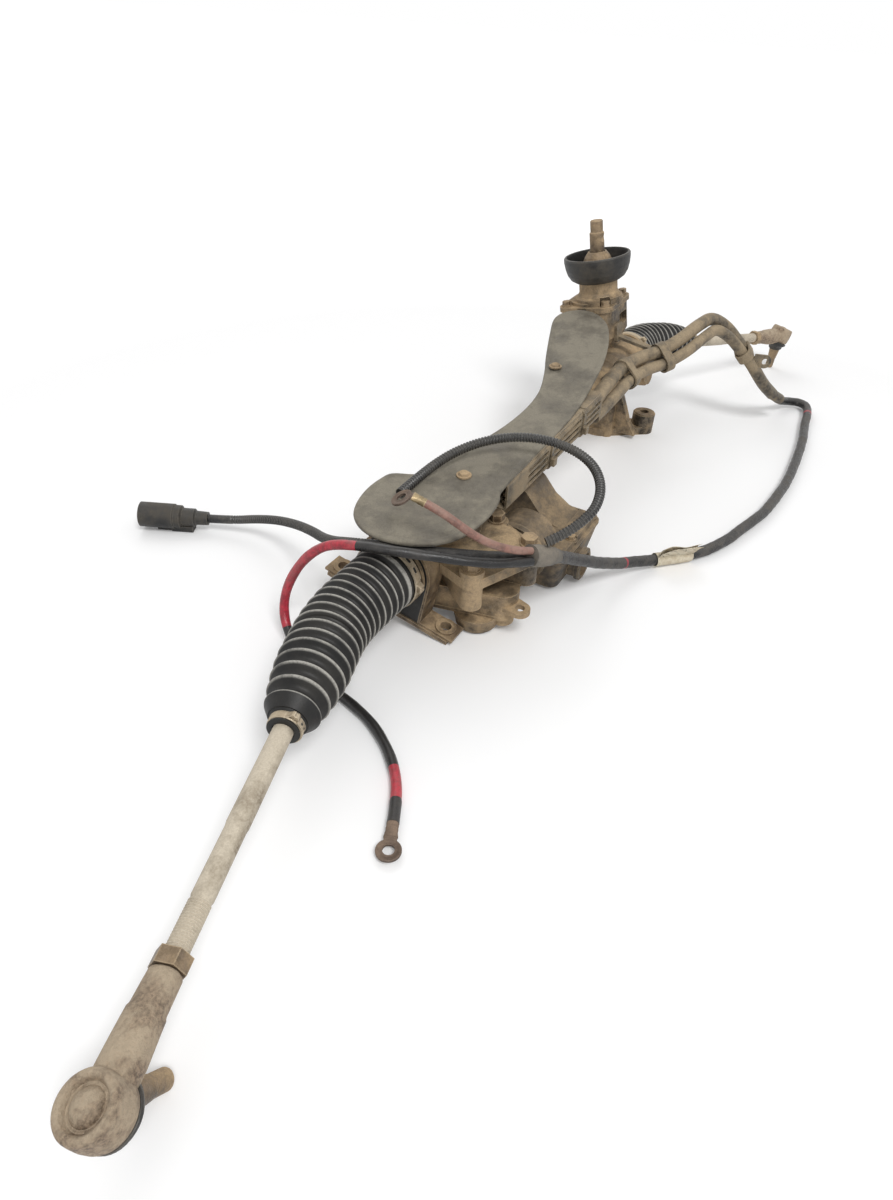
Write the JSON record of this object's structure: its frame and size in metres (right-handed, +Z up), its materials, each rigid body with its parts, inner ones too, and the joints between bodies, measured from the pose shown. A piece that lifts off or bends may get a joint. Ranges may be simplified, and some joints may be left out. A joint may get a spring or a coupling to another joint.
{
  "type": "steering rack",
  "caption": "Electric power steering rack of a car, with two pinions, motor and control unit, bellows, tie rods with ball joints, input shaft, heat shield and cable harness.",
  "frame": {"origin": "on the floor, under the middle of the box round the assembly without its loose harness", "axes": "+X along the rack in plan, from the motor end (near) to the input shaft's end (far); the rack rises 2.98 degrees towards +X; +Z up; the motor, duct and harness are on the -Y side"},
  "size_m": [1.4052, 0.5756, 0.2661],
  "materials": {
    "bearings": "plain",
    "bellows_clamps": "plain",
    "cable_label": "plain",
    "carrier_tubes": "dusty",
    "clamp_base": "plain",
    "clamp_collars": "plain",
    "clamp_rubber": "matt",
    "clamp_strap": "plain",
    "column_cone": "plain",
    "column_seal": "matt",
    "conduit_loop": "matt",
    "connector_lead": "matt",
    "cover_screws": "plain",
    "drive_pinion": "plain",
    "duct_covers": "dusty",
    "duct_ties": "dusty",
    "ecu_case": "dusty",
    "ecu_cover": "dusty",
    "far_ball_seat": "plain",
    "far_ball_stud": "plain",
    "far_bellows": "matt",
    "far_dust_boot": "matt",
    "far_lock_nut": "plain",
    "far_rod_end": "forged",
    "far_small_clamp": "plain",
    "far_tie_rod": "plain",
    "gear_case_bolts": "plain",
    "gear_case_cover": "dusty cast",
    "ground_lead": "plain",
    "harness_connector": "plain",
    "harness_trunk": "matt",
    "heat_shield": "dusty",
    "inner_sockets": "plain",
    "input_shaft": "plain",
    "lower_gear_cover": "dusty cast",
    "motor_housing": "dusty cast",
    "mount_bushes": "plain",
    "near_ball_seat": "plain",
    "near_ball_stud": "plain",
    "near_bellows": "matt",
    "near_dust_boot": "matt",
    "near_lock_nut": "plain",
    "near_rod_end": "forged",
    "near_small_clamp": "plain",
    "near_tie_rod": "plain",
    "power_lead": "plain",
    "rack_bar": "plain",
    "rack_bushes": "plain",
    "rack_housing": "dusty cast",
    "ring_terminals": "plain",
    "shield_rivets": "plain",
    "splice_sleeve": "matt",
    "support_yokes": "plain",
    "tower_cover": "dusty cast",
    "tube_carrier": "dusty",
    "wiring_duct": "dusty",
    "worm_shaft": "plain",
    "worm_wheel": "plain",
    "yoke_plugs": "plain",
    "yoke_springs": "plain"
  },
  "bodies": {
    "housing": {"bearings": "bearings", "bellows_clamps": "bellows_clamps", "cable_label": "cable_label", "carrier_tubes": "carrier_tubes", "clamp_base": "clamp_base", "clamp_collars": "clamp_collars", "clamp_rubber": "clamp_rubber", "clamp_strap": "clamp_strap", "column_cone": "column_cone", "column_seal": "column_seal", "conduit_loop": "conduit_loop", "connector_lead": "connector_lead", "cover_screws": "cover_screws", "duct_covers": "duct_covers", "duct_ties": "duct_ties", "ecu_case": "ecu_case", "ecu_cover": "ecu_cover", "far_bellows": "far_bellows", "gear_case_bolts": "gear_case_bolts", "gear_case_cover": "gear_case_cover", "ground_lead": "ground_lead", "harness_connector": "harness_connector", "harness_trunk": "harness_trunk", "heat_shield": "heat_shield", "lower_gear_cover": "lower_gear_cover", "motor_housing": "motor_housing", "mount_bushes": "mount_bushes", "near_bellows": "near_bellows", "power_lead": "power_lead", "rack_bushes": "rack_bushes", "rack_housing": "rack_housing", "ring_terminals": "ring_terminals", "shield_rivets": "shield_rivets", "splice_sleeve": "splice_sleeve", "support_yokes": "support_yokes", "tower_cover": "tower_cover", "tube_carrier": "tube_carrier", "wiring_duct": "wiring_duct", "yoke_plugs": "yoke_plugs", "yoke_springs": "yoke_springs"},
    "rack": {"rack_bar": "rack_bar", "inner_sockets": "inner_sockets"},
    "input_column": {"input_shaft": "input_shaft"},
    "drive_gear": {"drive_pinion": "drive_pinion", "worm_wheel": "worm_wheel"},
    "worm": {"worm_shaft": "worm_shaft"},
    "near_seat": {"near_ball_seat": "near_ball_seat"},
    "near_rod": {"near_tie_rod": "near_tie_rod", "near_lock_nut": "near_lock_nut", "near_rod_end": "near_rod_end", "near_small_clamp": "near_small_clamp"},
    "near_boot": {"near_dust_boot": "near_dust_boot"},
    "near_stud": {"near_ball_stud": "near_ball_stud"},
    "far_seat": {"far_ball_seat": "far_ball_seat"},
    "far_rod": {"far_tie_rod": "far_tie_rod", "far_lock_nut": "far_lock_nut", "far_rod_end": "far_rod_end", "far_small_clamp": "far_small_clamp"},
    "far_boot": {"far_dust_boot": "far_dust_boot"},
    "far_stud": {"far_ball_stud": "far_ball_stud"}
  },
  "joints": [
    {"name": "rack_slide", "type": "slide", "parent": "housing", "child": "rack", "axis": [0.9986, 0, 0.052], "range_m": [-0.053, 0.083], "deforming": ["near_bellows", "far_bellows"]},
    {"name": "input_turn", "type": "hinge", "parent": "housing", "child": "input_column", "pos_m": [0.26066, 0.07461, 0.08713], "axis": [-0.0511, 0.184, 0.9816], "range_deg": [-385, 600]},
    {"name": "drive_turn", "type": "hinge", "parent": "housing", "child": "drive_gear", "pos_m": [-0.19687, 0.04288, 0.06626], "axis": [-0.052, 0, 0.9986], "range_deg": [-600, 385]},
    {"name": "worm_turn", "type": "hinge", "parent": "housing", "child": "worm", "pos_m": [-0.19516, -0.00012, 0.03331], "axis": [0.9986, 0, 0.052], "range_deg": [-5780, 9000]},
    {"name": "near_swing", "type": "hinge", "parent": "rack", "child": "near_seat", "pos_m": [-0.34667, 0.05888, 0.05846], "axis": [-0.052, 0, 0.9986], "range_deg": [-47.1, 8.9], "deforming": ["near_bellows"]},
    {"name": "near_lift", "type": "hinge", "parent": "near_seat", "child": "near_rod", "pos_m": [-0.34667, 0.05888, 0.05846], "axis": [-0.3268, 0.9449, -0.017], "range_deg": [-17.08, 15.92], "deforming": ["near_bellows"]},
    {"name": "near_stud_swivel", "type": "hinge", "parent": "near_rod", "child": "near_boot", "pos_m": [-0.68185, -0.05728, 0.04461], "axis": [0.2925, -0.0952, -0.9515], "continuous": true},
    {"name": "near_stud_tilt", "type": "hinge", "parent": "near_boot", "child": "near_stud", "pos_m": [-0.68185, -0.05728, 0.04461], "axis": [0.3145, -0.9301, 0.1898], "range_deg": [-54.41, 5.59], "deforming": ["near_dust_boot"]},
    {"name": "far_swing", "type": "hinge", "parent": "rack", "child": "far_seat", "pos_m": [0.35837, 0.05888, 0.09517], "axis": [-0.052, 0, 0.9986], "range_deg": [-4.5, 51.5], "deforming": ["far_bellows"]},
    {"name": "far_lift", "type": "hinge", "parent": "far_seat", "child": "far_rod", "pos_m": [0.35837, 0.05888, 0.09517], "axis": [-0.3982, -0.9171, -0.0207], "range_deg": [-7.12, 25.88], "deforming": ["far_bellows"]},
    {"name": "far_stud_swivel", "type": "hinge", "parent": "far_rod", "child": "far_boot", "pos_m": [0.68215, -0.08078, 0.05412], "axis": [-0.2485, 0.229, -0.9412], "continuous": true},
    {"name": "far_stud_tilt", "type": "hinge", "parent": "far_boot", "child": "far_stud", "pos_m": [0.68215, -0.08078, 0.05412], "axis": [0.4056, 0.907, 0.1136], "range_deg": [-5.29, 54.71], "deforming": ["far_dust_boot"]}
  ],
  "couplings": [
    {"joint": "input_turn", "follows": "rack_slide", "rad_per_m": 125},
    {"joint": "drive_turn", "follows": "rack_slide", "rad_per_m": -125},
    {"joint": "worm_turn", "follows": "rack_slide", "rad_per_m": 1875}
  ]
}
